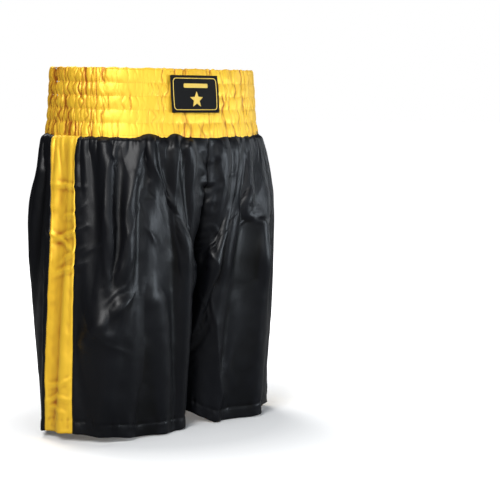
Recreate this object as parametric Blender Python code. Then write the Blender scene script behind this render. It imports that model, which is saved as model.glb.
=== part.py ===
"""Boxing shorts, built as the pieces that are sewn together.

The shorts stand on their hems, facing -Y, with the wearer's right side at -X and the floor at Z = 0. The
origin is on the floor, under the middle of their width and depth.
Every cloth piece is a thin closed shell. A position on the body is given by two shares:
  turn  how far round one half of the shorts, 0 on the centre front seam (or the inseam, below the crotch),
        0.5 on the outer side and 1 on the centre back seam (or the inseam again)
  down  how far down, 0 at the waist seam and 1 at the hem
"""

import math

import bpy
from mathutils import Vector

# Heights above the hem
TOTAL_HEIGHT = 0.560
WAISTBAND_HEIGHT = 0.102
CROTCH_HEIGHT = 0.268
HIP_HEIGHT = 0.345
THIGH_HEIGHT = 0.180
GATHER_DEPTH = 0.030  # the cloth swells out over this much below the waist seam

# Half width, front depth and back depth of the outline, from the hem up
HEM_SIZE = (0.208, 0.077, 0.075)
THIGH_SIZE = (0.204, 0.101, 0.110)
HIP_SIZE = (0.194, 0.137, 0.158)
GATHER_SIZE = (0.186, 0.128, 0.146)
WAIST_SEAM_SIZE = (0.171, 0.118, 0.138)
WAIST_TOP_SIZE = (0.165, 0.108, 0.127)
SQUARENESS = 2.6  # exponent of the outline: 2 is an ellipse, and more is squarer
WAIST_TILT = 0.024  # rise of the waist per metre towards the back
LEG_GAP = 0.010  # between the two legs at the hem
LEG_GAP_FROM = 0.060  # the gap is fully open this far below the crotch

# Cloth and seams
CLOTH = 0.0010
SEAM_GAP = 0.0006
HEM_DEPTH = 0.020
HEM_STEP = 0.0015
SEAM_TUCK = 0.0050  # how far the body's top edge goes up into the waistband
STRIPE_WIDTH = 0.062
STRIPE_FORWARD = 0.008  # the stripe's middle sits this far forward of the side
STRIPE_BACK_AT_WAIST = 0.016  # it starts this much further back at the waist seam
STRIPE_CURVE = 0.35  # and has come forward by this share of the way down

# Waistband: a folded casing that holds the elastic tapes
CASING_POCKET = 0.0036
ELASTIC_ROWS = 5
ELASTIC_THICKNESS = 0.0018
ELASTIC_MARGIN = 0.0014  # above and below each tape
PUFF = 0.0020  # how far the outer cloth stands out between two rows of stitching
FOLD_SEGMENTS = 4

# Thread
THREAD_RADIUS = 0.0004
THREAD_CLEARANCE = 0.0004  # between a thread and the cloth

# Woven patch on the front of the waistband
PATCH_WIDTH = 0.092
PATCH_HEIGHT = 0.056
PATCH_BELOW_TOP = 0.010
PATCH_ASIDE = -0.022  # from the centre front
PATCH_THICKNESS = 0.0010
PATCH_CLEARANCE = 0.0004  # between the patch and the puffs that it lies on
BORDER_INSET = 0.0045
BORDER_WIDTH = 0.0012
MARK_THICKNESS = 0.0006
MARK_CLEARANCE = 0.0003
BAR_LENGTH = 0.046
BAR_HEIGHT = 0.0065
BAR_RISE = 0.0125  # of the bar's middle above the patch's middle
STAR_RADIUS = 0.0125
STAR_INNER_SHARE = 0.45
STAR_DROP = 0.0085  # of the star's middle below the patch's middle
STAR_POINTS = 5

# Blank size label, which hangs inside the back of the waistband
SIZE_LABEL_WIDTH = 0.034
SIZE_LABEL_LENGTH = 0.046
SIZE_LABEL_THICKNESS = 0.0008
SIZE_LABEL_BELOW_TOP = 0.008
SIZE_LABEL_CLEARANCE = 0.0012

# Mesh resolution
RING_SEGMENTS = 48
PANEL_COLUMNS = 12
STRIPE_COLUMNS = 4
TRUNK_ROWS = 10
LEG_ROWS = 8
EDGE_SEARCH_STEPS = 40

SEAM_HEIGHT = TOTAL_HEIGHT - WAISTBAND_HEIGHT
RISE = SEAM_HEIGHT - CROTCH_HEIGHT
CROTCH_DOWN = RISE / SEAM_HEIGHT
POCKET_MIDDLE = -CLOTH / 2  # the body's cloth lies in the middle of the casing's pocket
CASING_OUTSIDE = POCKET_MIDDLE + CASING_POCKET / 2 + CLOTH
ROW_PITCH = WAISTBAND_HEIGHT / ELASTIC_ROWS
BAND_THREAD_OFFSET = CASING_OUTSIDE + THREAD_CLEARANCE + THREAD_RADIUS
PATCH_BASE = CASING_OUTSIDE + PUFF + PATCH_CLEARANCE
PATCH_MIDDLE = WAISTBAND_HEIGHT - PATCH_BELOW_TOP - PATCH_HEIGHT / 2
MARK_BASE = PATCH_BASE + PATCH_THICKNESS + MARK_CLEARANCE

LEVELS = (
    (HEM_DEPTH, HEM_SIZE),  # and straight down from here
    (THIGH_HEIGHT, THIGH_SIZE),
    (HIP_HEIGHT, HIP_SIZE),
    (SEAM_HEIGHT - GATHER_DEPTH, GATHER_SIZE),
    (SEAM_HEIGHT, WAIST_SEAM_SIZE),
    (TOTAL_HEIGHT, WAIST_TOP_SIZE),
)


# ---------------------------------------------------------------- the outline


def mix(a, b, share):
    return a + (b - a) * share


def smoothstep(t):
    t = min(max(t, 0.0), 1.0)
    return t * t * (3 - 2 * t)


def power(c):
    """A superellipse's version of a sine or cosine."""
    return math.copysign(abs(c) ** (2 / SQUARENESS), c)


def slope_at(i, k):
    """The slope of size k at level i, from its neighbours, for a smooth curve through the levels."""
    low, high = max(i - 1, 0), min(i + 1, len(LEVELS) - 1)
    return (LEVELS[high][1][k] - LEVELS[low][1][k]) / (LEVELS[high][0] - LEVELS[low][0])


def size_at(z, k):
    """Half width (k 0), front depth (k 1) or back depth (k 2) of the outline at height z."""
    z = min(max(z, HEM_DEPTH), TOTAL_HEIGHT)
    i = max(n for n in range(len(LEVELS) - 1) if LEVELS[n][0] <= z)
    (z0, size0), (z1, size1) = LEVELS[i], LEVELS[i + 1]
    span = z1 - z0
    t = (z - z0) / span
    return (
        size0[k] * (2 * t**3 - 3 * t**2 + 1)
        + slope_at(i, k) * span * (t**3 - 2 * t**2 + t)
        + size1[k] * (3 * t**2 - 2 * t**3)
        + slope_at(i + 1, k) * span * (t**3 - t**2)
    )


def trunk_point(turn, z):
    """A point on the one loop above the crotch, as (x, y). A turn of 1 to 2 runs back along the left half."""
    angle = math.pi * turn
    depth = size_at(z, 1) if math.cos(angle) > 0 else size_at(z, 2)
    return -size_at(z, 0) * power(math.sin(angle)), -depth * power(math.cos(angle))


def leg_point(turn, z):
    """A point on the right leg's own loop below the crotch, as (x, y)."""
    angle = 2 * math.pi * turn
    inner = mix(SEAM_GAP, LEG_GAP, smoothstep((CROTCH_HEIGHT - z) / LEG_GAP_FROM)) / 2
    middle = -(size_at(z, 0) + inner) / 2
    reach = (size_at(z, 0) - inner) / 2
    depth = size_at(z, 1) if math.sin(angle) > 0 else size_at(z, 2)
    return middle + reach * power(math.cos(angle)), -depth * power(math.sin(angle))


def tilted(x, y, z):
    """The point, raised towards the back as the waist is."""
    share = smoothstep((z - CROTCH_HEIGHT) / RISE)
    return Vector((x, y, z + WAIST_TILT * y * share))


def body_point(turn, down):
    """A point on the outside of the right half's cloth. The centre seams run under the crotch in a quarter
    ellipse, and the cloth away from them parts into the leg more gradually."""
    z_side = SEAM_HEIGHT * (1 - down)
    if down <= 0:
        return tilted(*trunk_point(turn, z_side), z_side)
    if down >= CROTCH_DOWN:
        return tilted(*leg_point(turn, z_side), z_side)
    arc = math.pi / 2 * down / CROTCH_DOWN
    near_seam = 1 - smoothstep(4 * min(turn, 1 - turn))
    z = mix(z_side, SEAM_HEIGHT - RISE * math.sin(arc), near_seam)
    parted = mix(smoothstep(down / CROTCH_DOWN), 1 - math.cos(arc), near_seam)
    trunk, leg = trunk_point(turn, z), leg_point(turn, z)
    return tilted(mix(trunk[0], leg[0], parted), mix(trunk[1], leg[1], parted), z)


def turn_where(y, down):
    """The turn at which the outer side of the body passes a given y, by halving."""
    low, high = 0.25, 0.75
    for _ in range(EDGE_SEARCH_STEPS):
        middle = (low + high) / 2
        if body_point(middle, down).y < y:
            low = middle
        else:
            high = middle
    return (low + high) / 2


def band_point(angle, height, offset):
    """A point on the waistband: angle round from the centre front towards the wearer's right, height above the
    waist seam, and offset out from the body's surface."""
    z = SEAM_HEIGHT + height
    step = 1e-4
    behind = Vector(trunk_point((angle - step) / math.pi, z))
    ahead = Vector(trunk_point((angle + step) / math.pi, z))
    along = (ahead - behind).normalized()
    out = Vector((along.y, -along.x)) * -1
    x, y = Vector(trunk_point(angle / math.pi, z)) + out * offset
    return tilted(x, y, z)


def front_angle(x, height):
    """The angle at which the waistband's front passes a given x."""
    share = min(abs(x) / size_at(SEAM_HEIGHT + height, 0), 1.0)
    return -math.copysign(math.asin(share ** (SQUARENESS / 2)), x)


# ---------------------------------------------------------------- objects


def material(name, colour, roughness):
    made = bpy.data.materials.new(name)
    made.use_nodes = True
    shader = made.node_tree.nodes["Principled BSDF"]
    shader.inputs["Base Color"].default_value = (*colour, 1)
    shader.inputs["Roughness"].default_value = roughness
    shader.inputs["Metallic"].default_value = 0
    return made


def mesh_object(name, points, faces, finish):
    mesh = bpy.data.meshes.new(name)
    mesh.from_pydata(points, [], faces)
    mesh.materials.append(finish)
    mesh.shade_smooth()
    mesh.set_sharp_from_angle(angle=math.radians(40))
    made = bpy.data.objects.new(name, mesh)
    bpy.context.scene.collection.objects.link(made)
    return made


def ring(name, section, point, finish):
    """A closed ring: a section's corners, each (height, offset) and clockwise as seen along the ring, are
    carried round by point(angle, height, offset)."""
    corners = len(section)
    points, faces = [], []
    for i in range(RING_SEGMENTS):
        angle = 2 * math.pi * (i + 0.5) / RING_SEGMENTS
        points += [point(angle, height, offset) for height, offset in section]
        here, there = i * corners, (i + 1) % RING_SEGMENTS * corners
        for j in range(corners):
            k = (j + 1) % corners
            faces.append((here + j, here + k, there + k, there + j))
    return mesh_object(name, points, faces, finish)


def block(name, outline, columns, point, low, high, finish):
    """A plate between two offsets from the waistband. Its outline is a function of a share across, 0 to 1,
    that gives the plate's (x, lowest height, highest height) there."""
    points, faces = [], []
    for i in range(columns + 1):
        x, bottom, top = outline(i / columns)
        points += [point(x, bottom, low), point(x, bottom, high), point(x, top, high), point(x, top, low)]
        if i == 0:
            continue
        here, there = 4 * (i - 1), 4 * i
        for j in range(4):
            k = (j + 1) % 4
            faces.append((here + j, there + j, there + k, here + k))
    last = 4 * columns
    faces += [(0, 1, 2, 3), (last + 3, last + 2, last + 1, last)]
    return mesh_object(name, points, faces, finish)


# ---------------------------------------------------------------- body panels


def panel_rows():
    """The down shares of a panel's rows, from its tucked top edge to the hem, each with the cloth's layers."""
    tuck = SEAM_TUCK - SEAM_GAP
    rows = [(-tuck / SEAM_HEIGHT, 1), (-tuck / 2 / SEAM_HEIGHT, 1)]
    rows += [(CROTCH_DOWN * i / TRUNK_ROWS, 1) for i in range(TRUNK_ROWS)]
    hem = 1 - (HEM_DEPTH + HEM_STEP) / SEAM_HEIGHT
    rows += [(mix(CROTCH_DOWN, hem, i / LEG_ROWS), 1) for i in range(LEG_ROWS + 1)]
    rows += [(1 - HEM_DEPTH / SEAM_HEIGHT, 2), (1, 2)]
    return rows


def seam_share(down):
    """The turn at which the cloth is half a seam gap away from the centre seam or the inseam, by halving."""
    seam = body_point(0, down)
    low, high = 0.0, 0.1
    for _ in range(EDGE_SEARCH_STEPS):
        middle = (low + high) / 2
        if (body_point(middle, down) - seam).length < SEAM_GAP / 2:
            low = middle
        else:
            high = middle
    return (low + high) / 2


def panel(name, left, first, last, columns, finish):
    """A cloth panel between two edges, which are functions of down that give the turn. The cloth is doubled
    over the hem, where it is turned up inside."""
    points, faces, layers = [], [], []
    for down, folds in panel_rows():
        for i in range(columns + 1):
            point = body_point(mix(first(down), last(down), i / columns), down)
            points.append(Vector((-point.x, point.y, point.z)) if left else point)
            layers.append(folds)
    stride = columns + 1
    for row in range(len(points) // stride - 1):
        for i in range(columns):
            a = row * stride + i
            face = (a, a + 1, a + 1 + stride, a + stride)
            faces.append(face[::-1] if left else face)
    made = mesh_object(name, points, faces, finish)
    group = made.vertex_groups.new(name="layers")
    for index, folds in enumerate(layers):
        group.add([index], folds / 2, "REPLACE")
    shell = made.modifiers.new("cloth", "SOLIDIFY")
    shell.thickness = 2 * CLOTH
    shell.offset = -1
    shell.vertex_group = group.name
    return made


def stripe_edge(way, down):
    """The y of the stripe's front (way -1) or back (way 1) edge."""
    forward = STRIPE_FORWARD - STRIPE_BACK_AT_WAIST * (1 - smoothstep(down / STRIPE_CURVE))
    return -forward + way * STRIPE_WIDTH / 2


def make_body(black, gold):
    half_gap = SEAM_GAP / 2
    for side in ("right", "left"):
        left = side == "left"
        panel(
            f"front_panel_{side}",
            left,
            seam_share,
            lambda down: turn_where(stripe_edge(-1, down) - half_gap, down),
            PANEL_COLUMNS,
            black,
        )
        panel(
            f"side_stripe_{side}",
            left,
            lambda down: turn_where(stripe_edge(-1, down) + half_gap, down),
            lambda down: turn_where(stripe_edge(1, down) - half_gap, down),
            STRIPE_COLUMNS,
            gold,
        )
        panel(
            f"back_panel_{side}",
            left,
            lambda down: turn_where(stripe_edge(1, down) + half_gap, down),
            lambda down: 1 - seam_share(down),
            PANEL_COLUMNS,
            black,
        )


def make_hem_threads(thread):
    """A ring of stitching round each leg, at the top of the turned hem."""
    height = HEM_DEPTH - 2 * THREAD_RADIUS
    start = THREAD_CLEARANCE + THREAD_RADIUS
    for side, mirror in (("right", 1), ("left", -1)):

        def point(angle, rise, offset, mirror=mirror):
            z = height + rise
            step = 1e-4
            behind = Vector(leg_point((angle - step) / (2 * math.pi), z))
            ahead = Vector(leg_point((angle + step) / (2 * math.pi), z))
            along = (ahead - behind).normalized()
            out = Vector((along.y, -along.x)) * -1
            x, y = Vector(leg_point(angle / (2 * math.pi), z)) + out * (start + offset)
            return Vector((mirror * x, y, z))

        section = thread_section(0, 0)
        ring(f"hem_stitch_{side}", section if mirror == 1 else section[::-1], point, thread)


# ---------------------------------------------------------------- waistband


def thread_section(height, offset):
    """A thread's four-sided section round a (height, offset)."""
    corners = [math.pi / 2 * i for i in range(4)]
    return [
        (height + THREAD_RADIUS * math.sin(a), offset + THREAD_RADIUS * math.cos(a))
        for a in corners
    ]


def make_casing(gold):
    """One strip of cloth, folded over at the top, with its two edges open at the waist seam. The outer cloth
    puffs out between the rows of stitching."""
    outer, inner = CASING_POCKET / 2 + CLOTH, CASING_POCKET / 2
    fold_height = WAISTBAND_HEIGHT - outer
    turns = [math.pi * i / FOLD_SEGMENTS for i in range(FOLD_SEGMENTS + 1)]
    seams = [row * ROW_PITCH for row in range(ELASTIC_ROWS)]
    puffed = []
    for height in seams:
        puffed += [(height, 0), (height + ROW_PITCH / 2, PUFF)]

    def fold(radius):
        return [
            (fold_height + radius * math.sin(a), POCKET_MIDDLE + radius * math.cos(a)) for a in turns
        ]

    section = [(height, POCKET_MIDDLE + outer + puff) for height, puff in puffed]
    section += fold(outer)
    section += [(height, POCKET_MIDDLE - outer) for height in reversed(seams)]
    section += [(height, POCKET_MIDDLE - inner) for height in seams]
    section += reversed(fold(inner))
    section += [(height, POCKET_MIDDLE + inner + puff) for height, puff in reversed(puffed)]
    ring("waistband_casing", section, band_point, gold)


def make_elastics(elastic):
    half = ELASTIC_THICKNESS / 2
    for row in range(ELASTIC_ROWS):
        low = row * ROW_PITCH + SEAM_TUCK + ELASTIC_MARGIN
        high = (row + 1) * ROW_PITCH - ELASTIC_MARGIN
        section = [
            (low, POCKET_MIDDLE - half),
            (low, POCKET_MIDDLE + half),
            (high, POCKET_MIDDLE + half),
            (high, POCKET_MIDDLE - half),
        ]
        ring(f"elastic_tape_{row + 1}", section, band_point, elastic)


def make_band_threads(thread):
    """The row of stitching that holds the body in the casing, and those that part the casing into one channel
    for each tape."""
    seam = thread_section(2 * THREAD_RADIUS, BAND_THREAD_OFFSET)
    ring("waist_seam_stitch", seam, band_point, thread)
    for row in range(1, ELASTIC_ROWS):
        section = thread_section(row * ROW_PITCH, BAND_THREAD_OFFSET)
        ring(f"waistband_stitch_{row}", section, band_point, thread)


# ---------------------------------------------------------------- patch and label


def on_band_front(x, height, offset):
    return band_point(front_angle(x, height), height, offset)


def make_patch(black, gold):
    half_width, half_height = PATCH_WIDTH / 2, PATCH_HEIGHT / 2

    def rectangle(half_x, low, high):
        return lambda share: (PATCH_ASIDE + mix(-half_x, half_x, share), low, high)

    low, high = PATCH_MIDDLE - half_height, PATCH_MIDDLE + half_height
    top = PATCH_BASE + PATCH_THICKNESS
    block("patch_backing", rectangle(half_width, low, high), 12, on_band_front, PATCH_BASE, top, black)
    make_border(half_width - BORDER_INSET, half_height - BORDER_INSET, gold)
    bar = PATCH_MIDDLE + BAR_RISE
    outline = rectangle(BAR_LENGTH / 2, bar - BAR_HEIGHT / 2, bar + BAR_HEIGHT / 2)
    block("patch_bar", outline, 8, on_band_front, MARK_BASE, MARK_BASE + MARK_THICKNESS, gold)
    make_star(gold)


def make_border(half_x, half_z, gold):
    """The patch's thin woven frame."""
    steps = (8, 5)
    path = []
    for (x0, z0), (x1, z1), count in (
        ((-half_x, -half_z), (half_x, -half_z), steps[0]),
        ((half_x, -half_z), (half_x, half_z), steps[1]),
        ((half_x, half_z), (-half_x, half_z), steps[0]),
        ((-half_x, half_z), (-half_x, -half_z), steps[1]),
    ):
        path += [(mix(x0, x1, i / count), mix(z0, z1, i / count)) for i in range(count)]
    points, faces = [], []
    for i, (x, z) in enumerate(path):
        inner_x, inner_z = (
            math.copysign(min(abs(v), half - BORDER_WIDTH), v) for v, half in ((x, half_x), (z, half_z))
        )
        for px, pz, offset in (
            (x, z, MARK_BASE),
            (x, z, MARK_BASE + MARK_THICKNESS),
            (inner_x, inner_z, MARK_BASE + MARK_THICKNESS),
            (inner_x, inner_z, MARK_BASE),
        ):
            points.append(on_band_front(PATCH_ASIDE + px, PATCH_MIDDLE + pz, offset))
        here, there = 4 * i, 4 * ((i + 1) % len(path))
        for j in range(4):
            k = (j + 1) % 4
            faces.append((here + j, there + j, there + k, here + k))
    mesh_object("patch_border", points, faces, gold)


def make_star(gold):
    middle = PATCH_MIDDLE - STAR_DROP
    count = 2 * STAR_POINTS
    points = []
    for offset in (MARK_BASE, MARK_BASE + MARK_THICKNESS):
        for i in range(count):
            reach = STAR_RADIUS * (STAR_INNER_SHARE if i % 2 else 1)
            angle = math.pi / 2 + 2 * math.pi * i / count
            points.append(
                on_band_front(
                    PATCH_ASIDE + reach * math.cos(angle), middle + reach * math.sin(angle), offset
                )
            )
        points.append(on_band_front(PATCH_ASIDE, middle, offset))
    faces = []
    for i in range(count):
        k = (i + 1) % count
        faces.append((i, k, k + count + 1, i + count + 1))
        faces.append((k, i, count))
        faces.append((i + count + 1, k + count + 1, 2 * count + 1))
    mesh_object("patch_star", points, faces, gold)


def make_size_label(white):
    """A blank tag that hangs free inside the centre back. Its origin is on its sewn top edge."""
    height = WAISTBAND_HEIGHT - SIZE_LABEL_BELOW_TOP
    inside = POCKET_MIDDLE - CASING_POCKET / 2 - CLOTH
    edge = band_point(math.pi, height, inside - SIZE_LABEL_CLEARANCE)
    low_edge = band_point(math.pi, height - SIZE_LABEL_LENGTH, inside - SIZE_LABEL_CLEARANCE)
    near = min(edge.y, low_edge.y)
    x, far = SIZE_LABEL_WIDTH / 2, -SIZE_LABEL_THICKNESS
    corners = [(-x, far), (x, far), (x, 0), (-x, 0)]
    points = [(px, py, pz) for pz in (-SIZE_LABEL_LENGTH, 0) for px, py in corners]
    faces = [(3, 2, 1, 0), (4, 5, 6, 7)]
    faces += [(i, (i + 1) % 4, (i + 1) % 4 + 4, i + 4) for i in range(4)]
    label = mesh_object("size_label", points, faces, white)
    label.location = (0, near, edge.z)


def centre_depth():
    """Moves every piece by the same amount, so that the shorts' depth is centred on Y = 0."""
    pieces = list(bpy.context.scene.objects)
    edges = [piece.location.y + corner[1] for piece in pieces for corner in piece.bound_box]
    middle = (min(edges) + max(edges)) / 2
    for piece in pieces:
        piece.location.y -= middle


def main():
    for leftover in list(bpy.data.objects):
        bpy.data.objects.remove(leftover)
    black = material("black_satin", (0.012, 0.012, 0.014), 0.38)
    gold = material("gold_satin", (0.86, 0.48, 0.05), 0.40)
    elastic = material("white_elastic", (0.80, 0.80, 0.78), 0.85)
    gold_thread = material("gold_thread", (0.80, 0.46, 0.08), 0.60)
    black_thread = material("black_thread", (0.02, 0.02, 0.02), 0.60)
    white = material("white_tag", (0.85, 0.85, 0.83), 0.60)
    make_body(black, gold)
    make_hem_threads(black_thread)
    make_casing(gold)
    make_elastics(elastic)
    make_band_threads(gold_thread)
    make_patch(black, gold)
    make_size_label(white)
    centre_depth()


main()
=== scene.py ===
"""Looks of the boxing shorts: a draped satin body, a shirred waistband, stitching, a woven patch and a tag.

The cloth starts on the same outline as the CAD part. It is given its gathers and folds, relaxed by a short
cloth simulation, and then cut along its seams into the panels. A place on the body is given by two shares:
  turn  0 on the centre front seam, 0.5 on the outer side, 1 on the centre back seam
  down  0 at the waist seam, 1 at the hem
"""

import math

import bpy
import numpy as np
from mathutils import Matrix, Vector


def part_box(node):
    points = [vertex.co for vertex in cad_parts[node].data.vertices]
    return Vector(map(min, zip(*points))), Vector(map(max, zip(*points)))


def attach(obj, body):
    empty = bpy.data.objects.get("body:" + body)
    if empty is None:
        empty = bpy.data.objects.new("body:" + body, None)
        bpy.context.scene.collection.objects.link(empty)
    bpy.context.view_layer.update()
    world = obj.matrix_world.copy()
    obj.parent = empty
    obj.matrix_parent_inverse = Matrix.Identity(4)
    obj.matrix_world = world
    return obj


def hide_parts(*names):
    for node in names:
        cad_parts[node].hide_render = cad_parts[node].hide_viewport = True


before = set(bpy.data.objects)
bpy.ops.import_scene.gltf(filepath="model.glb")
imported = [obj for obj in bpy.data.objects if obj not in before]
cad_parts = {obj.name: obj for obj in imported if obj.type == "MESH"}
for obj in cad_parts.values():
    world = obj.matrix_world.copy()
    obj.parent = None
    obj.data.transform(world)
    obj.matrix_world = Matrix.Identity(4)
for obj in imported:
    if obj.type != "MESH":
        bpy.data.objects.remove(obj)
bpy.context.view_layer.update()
RANDOM = np.random.default_rng(11)

# ---------------- sizes, as in the CAD part

TOTAL_HEIGHT = 0.560
WAISTBAND_HEIGHT = 0.102
CROTCH_HEIGHT = 0.268
HEM_DEPTH = 0.020
SQUARENESS = 2.6
INNER_SQUARENESS = 4.6  # the cloth hangs straight down in front of the crotch
WAIST_TILT = 0.024
LEG_GAP = 0.010
LEG_GAP_FROM = 0.060
STRIPE_WIDTH = 0.062
STRIPE_FORWARD = 0.008
STRIPE_BACK_AT_WAIST = 0.016
STRIPE_CURVE = 0.35
SEAM_HEIGHT = TOTAL_HEIGHT - WAISTBAND_HEIGHT
RISE = SEAM_HEIGHT - CROTCH_HEIGHT
CROTCH_DOWN = RISE / SEAM_HEIGHT
OUTLINE_HEIGHTS = np.array([HEM_DEPTH, 0.180, 0.345, SEAM_HEIGHT - 0.030, SEAM_HEIGHT, TOTAL_HEIGHT])
HALF_WIDTHS = np.array([0.208, 0.204, 0.194, 0.186, 0.171, 0.165])
FRONT_DEPTHS = np.array([0.077, 0.101, 0.137, 0.128, 0.118, 0.108])
BACK_DEPTHS = np.array([0.075, 0.110, 0.158, 0.146, 0.138, 0.127])
DEPTH_SHIFT = -0.0097  # the CAD part is centred on its depth
MIRROR = np.array((-1, 1, 1))

# ---------------- objects and shader nodes


def placed(name, data):
    """A new object, in the scene."""
    made = bpy.data.objects.new(name, data)
    bpy.context.scene.collection.objects.link(made)
    return made


def mesh_object(name, points, faces, finish):
    """A new object with a smooth mesh."""
    mesh = bpy.data.meshes.new(name)
    mesh.from_pydata(points.reshape(-1, 3).tolist(), [], faces)
    mesh.shade_smooth()
    mesh.materials.append(finish)
    return placed(name, mesh)


def stands_for(piece, node, body="shorts"):
    """The piece moves with the body and is shown in place of the CAD node."""
    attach(piece, body)
    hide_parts(node)


def new_material(name):
    made = bpy.data.materials.new(name)
    made.use_nodes = True
    return made, made.node_tree, made.node_tree.nodes["Principled BSDF"]


def connect(tree, node, inputs):
    """Each input of the node gets a value, or a link from another node's output."""
    for name, value in inputs.items():
        if isinstance(value, bpy.types.NodeSocket):
            tree.links.new(value, node.inputs[name])
        else:
            node.inputs[name].default_value = value


def new_node(tree, kind, inputs, **settings):
    """A new shader node. It returns the node's outputs."""
    made = tree.nodes.new("ShaderNode" + kind)
    for name, value in settings.items():
        setattr(made, name, value)
    connect(tree, made, inputs)
    return made.outputs


def coordinates(tree, kind):
    return new_node(tree, "TexCoord", {})[kind]


def mixed(tree, share, first, second):
    """One colour turning into another."""
    return new_node(tree, "Mix", {0: share, 6: first, 7: second}, data_type="RGBA")[2]


def bump(tree, height, strength, distance):
    inputs = {"Strength": strength, "Distance": distance, "Height": height}
    return new_node(tree, "Bump", inputs)["Normal"]


def toned(colour, share):
    return (*[min(c * share, 1) for c in colour], 1)


# ---------------- camera, lights and floor

CAMERA_TURN = math.radians(-41)
CAMERA_RISE = math.radians(5.2)
CAMERA_DISTANCE = 2.4
CAMERA_LENS = 108.2
AIM_RIGHT = 0.155  # the camera looks past the shorts, which stand left of the middle of the picture
AIM_UP = -0.008
LIGHTS_AIM = Vector((0, 0, 0.3))
COOL = (0.88, 0.94, 1)
# Each softbox: name, place, size, watts, colour
SOFTBOXES = (
    ("key", (-2.15, -1.3, 1.6), (1.0, 1.0), 73, (1, 1, 1)),
    ("sheen", (-0.9, -2.4, 0.7), (1.1, 1.1), 12, (0.86, 0.93, 1)),
    ("front", (0.9, -2.3, 1.1), (0.4, 1.4), 6, COOL),
    ("low", (1.3, -1.8, 0.25), (0.7, 0.5), 22, (0.82, 0.91, 1)),
    ("right", (2.3, -0.4, 0.9), (0.35, 1.5), 10, COOL),
    ("top", (0.0, 0.2, 2.4), (1.2, 1.2), 15, (1, 1, 1)),
    ("back", (0.4, 1.8, 2.6), (1.2, 1.2), 40, (1, 1, 1)),
)
SURROUNDINGS = (0.93, 0.96, 1, 1)
SURROUNDINGS_STRENGTH = 0.055
FLOOR_SIZE = 80
FLOOR_DROP = 0.0005
FLOOR_WHITE = (0.92, 0.92, 0.92, 1)
FLOOR_BOUNCE = (0.22, 0.22, 0.22, 1)  # what the floor throws back up at the cloth
FLOOR_GLOW_FROM = 0.20  # the floor's distance from the middle where it starts to wash out to white
FLOOR_GLOW_FULL = 0.80


def turn_towards(obj, aim):
    obj.rotation_euler = (aim - obj.location).to_track_quat("-Z", "Y").to_euler()


def add_camera():
    middle = Vector((0, 0, TOTAL_HEIGHT / 2))
    back = Vector(
        (
            math.sin(CAMERA_TURN) * math.cos(CAMERA_RISE),
            -math.cos(CAMERA_TURN) * math.cos(CAMERA_RISE),
            math.sin(CAMERA_RISE),
        )
    )
    right = Vector((math.cos(CAMERA_TURN), math.sin(CAMERA_TURN), 0))
    data = bpy.data.cameras.new("camera")
    data.lens = CAMERA_LENS
    camera = placed("camera", data)
    camera.location = middle + back * CAMERA_DISTANCE
    turn_towards(camera, middle + right * AIM_RIGHT + Vector((0, 0, AIM_UP)))
    bpy.context.scene.camera = camera


def add_softbox(name, place, size, watts, colour):
    data = bpy.data.lights.new(name, "AREA")
    data.shape = "RECTANGLE"
    data.size, data.size_y = size
    data.energy = watts
    data.color = colour
    light = placed(name, data)
    light.location = place
    turn_towards(light, LIGHTS_AIM)


def add_studio():
    """The softboxes, in a room that the camera sees as white and the cloth sees as dim."""
    scene = bpy.context.scene
    scene.view_settings.view_transform = "Standard"
    world = bpy.data.worlds.new("studio")
    world.use_nodes = True
    tree = world.node_tree
    seen = tree.nodes["Background"]
    connect(tree, seen, {"Color": (1, 1, 1, 1), "Strength": 1.0})
    fill = new_node(tree, "Background", {"Color": SURROUNDINGS, "Strength": SURROUNDINGS_STRENGTH})
    by_camera = new_node(tree, "LightPath", {})["Is Camera Ray"]
    either = new_node(tree, "MixShader", {0: by_camera, 1: fill[0], 2: seen.outputs[0]})
    connect(tree, tree.nodes["World Output"], {"Surface": either[0]})
    scene.world = world
    for softbox in SOFTBOXES:
        add_softbox(*softbox)


def add_floor():
    """A white floor that washes out to plain white away from the shorts."""
    bpy.ops.mesh.primitive_plane_add(size=FLOOR_SIZE, location=(0, 0, -FLOOR_DROP))
    floor = bpy.context.object
    floor.name = "floor"
    made, tree, shader = new_material("floor_white")
    length = new_node(tree, "VectorMath", {0: coordinates(tree, "Object")}, operation="LENGTH")["Value"]
    fade = {"Value": length, "From Min": FLOOR_GLOW_FROM, "From Max": FLOOR_GLOW_FULL}
    glow = new_node(tree, "MapRange", fade)["Result"]
    by_camera = new_node(tree, "LightPath", {})["Is Camera Ray"]
    seen = new_node(tree, "Math", {0: glow, 1: by_camera}, operation="MULTIPLY")[0]
    colour = mixed(tree, by_camera, FLOOR_BOUNCE, FLOOR_WHITE)
    look = {"Base Color": colour, "Roughness": 0.9, "Emission Color": (1, 1, 1, 1), "Emission Strength": seen}
    connect(tree, shader, look)
    floor.data.materials.append(made)


# ---------------- the outline


def smoothstep(t):
    t = np.clip(t, 0, 1)
    return t * t * (3 - 2 * t)


def mix(a, b, share):
    return a + (b - a) * share


def lengths(vectors):
    return np.linalg.norm(vectors, axis=-1)


def units(vectors):
    return vectors / np.maximum(lengths(vectors)[..., None], 1e-12)


def travelled(points):
    """How far each point of a line is from its first point, along the line."""
    return np.concatenate([[0], lengths(np.diff(points, axis=0)).cumsum()])


def power(c, squareness=SQUARENESS):
    return np.sign(c) * np.abs(c) ** (2 / squareness)


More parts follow.
